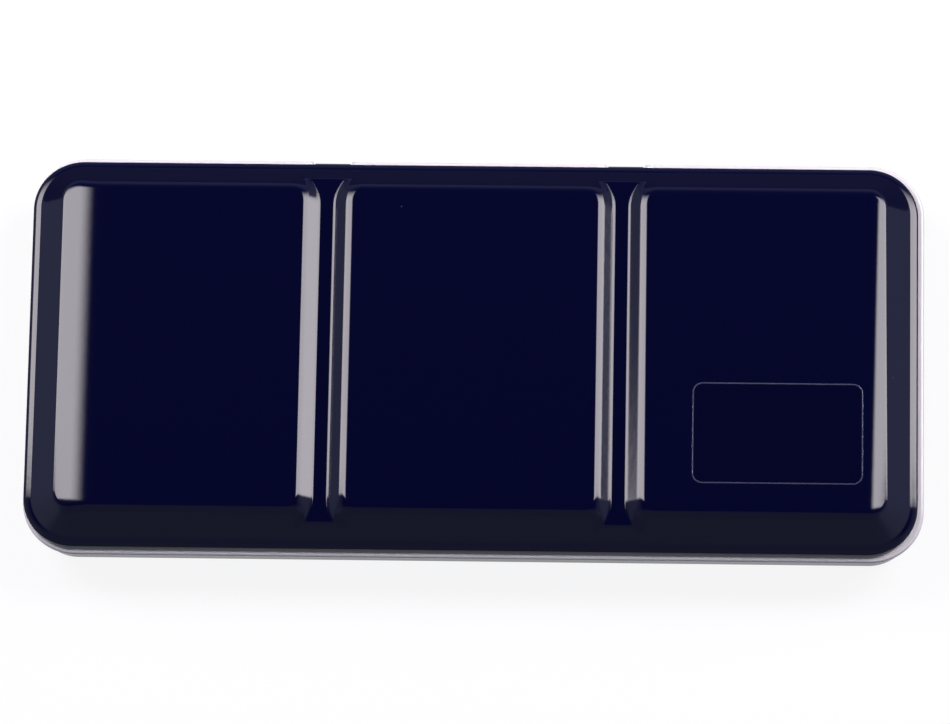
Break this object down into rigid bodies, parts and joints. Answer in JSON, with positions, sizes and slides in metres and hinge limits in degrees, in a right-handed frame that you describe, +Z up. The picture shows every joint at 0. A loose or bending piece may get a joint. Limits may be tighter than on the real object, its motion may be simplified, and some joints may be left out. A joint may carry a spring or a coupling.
{
  "type": "watercolor tin",
  "caption": "Slim hinged enamelled tin with raised lid wells, half pans of watercolor in a clip rack, a round brush and a folding thumb ring.",
  "frame": {"origin": "centre of the face that the tin rests on", "axes": "+X along the length, +Y towards the hinges, +Z up"},
  "size_m": [0.2128, 0.0984, 0.0221],
  "materials": {
    "navy_enamel": "high gloss baked enamel",
    "base_enamel": "high gloss baked enamel, white inside",
    "tinplate": "bright tinned steel sheet",
    "pin_steel": "bright drawn wire",
    "pan_plastic": "moulded white styrene",
    "brush_lacquer": "lacquered turned wood",
    "nickel": "nickel plated tube",
    "hair": "natural brush hair",
    "clear_film": "clear glossy film",
    "paint_01": "dry watercolor cake",
    "paint_02": "dry watercolor cake",
    "paint_03": "dry watercolor cake",
    "paint_04": "dry watercolor cake",
    "paint_05": "dry watercolor cake",
    "paint_06": "dry watercolor cake",
    "paint_07": "dry watercolor cake",
    "paint_08": "dry watercolor cake",
    "paint_09": "dry watercolor cake",
    "paint_10": "dry watercolor cake",
    "paint_11": "dry watercolor cake",
    "paint_12": "dry watercolor cake",
    "paint_13": "dry watercolor cake",
    "paint_14": "dry watercolor cake",
    "paint_15": "dry watercolor cake",
    "paint_16": "dry watercolor cake",
    "paint_17": "dry watercolor cake",
    "paint_18": "dry watercolor cake",
    "paint_19": "dry watercolor cake",
    "paint_20": "dry watercolor cake",
    "paint_21": "dry watercolor cake",
    "paint_22": "dry watercolor cake",
    "paint_23": "dry watercolor cake",
    "paint_24": "dry watercolor cake"
  },
  "bodies": {
    "base": {"base_tray": "base_enamel", "hinge_pins": "pin_steel", "pan_rack": "tinplate", "brush_handle": "brush_lacquer", "brush_ferrule": "nickel", "brush_tuft": "hair", "ring_bracket": "tinplate", "ring_rivets": "tinplate", "pan_01": "pan_plastic", "paint_01": "paint_01", "pan_02": "pan_plastic", "paint_02": "paint_02", "pan_03": "pan_plastic", "paint_03": "paint_03", "pan_04": "pan_plastic", "paint_04": "paint_04", "pan_05": "pan_plastic", "paint_05": "paint_05", "pan_06": "pan_plastic", "paint_06": "paint_06", "pan_07": "pan_plastic", "paint_07": "paint_07", "pan_08": "pan_plastic", "paint_08": "paint_08", "pan_09": "pan_plastic", "paint_09": "paint_09", "pan_10": "pan_plastic", "paint_10": "paint_10", "pan_11": "pan_plastic", "paint_11": "paint_11", "pan_12": "pan_plastic", "paint_12": "paint_12", "pan_13": "pan_plastic", "paint_13": "paint_13", "pan_14": "pan_plastic", "paint_14": "paint_14", "pan_15": "pan_plastic", "paint_15": "paint_15", "pan_16": "pan_plastic", "paint_16": "paint_16", "pan_17": "pan_plastic", "paint_17": "paint_17", "pan_18": "pan_plastic", "paint_18": "paint_18", "pan_19": "pan_plastic", "paint_19": "paint_19", "pan_20": "pan_plastic", "paint_20": "paint_20", "pan_21": "pan_plastic", "paint_21": "paint_21", "pan_22": "pan_plastic", "paint_22": "paint_22", "pan_23": "pan_plastic", "paint_23": "paint_23", "pan_24": "pan_plastic", "paint_24": "paint_24"},
    "lid": {"lid": "navy_enamel", "clear_label": "clear_film"},
    "thumb_ring": {"thumb_ring": "pin_steel"}
  },
  "joints": [
    {"name": "lid_hinge", "type": "hinge", "parent": "base", "child": "lid", "pos_m": [0, 0.04815, 0.0111], "axis": [-1, 0, 0], "range_deg": [0, 180]},
    {"name": "ring_fold", "type": "hinge", "parent": "base", "child": "thumb_ring", "pos_m": [0, 0.0152, 0.0015], "axis": [1, 0, 0], "range_deg": [0, 90]}
  ]
}
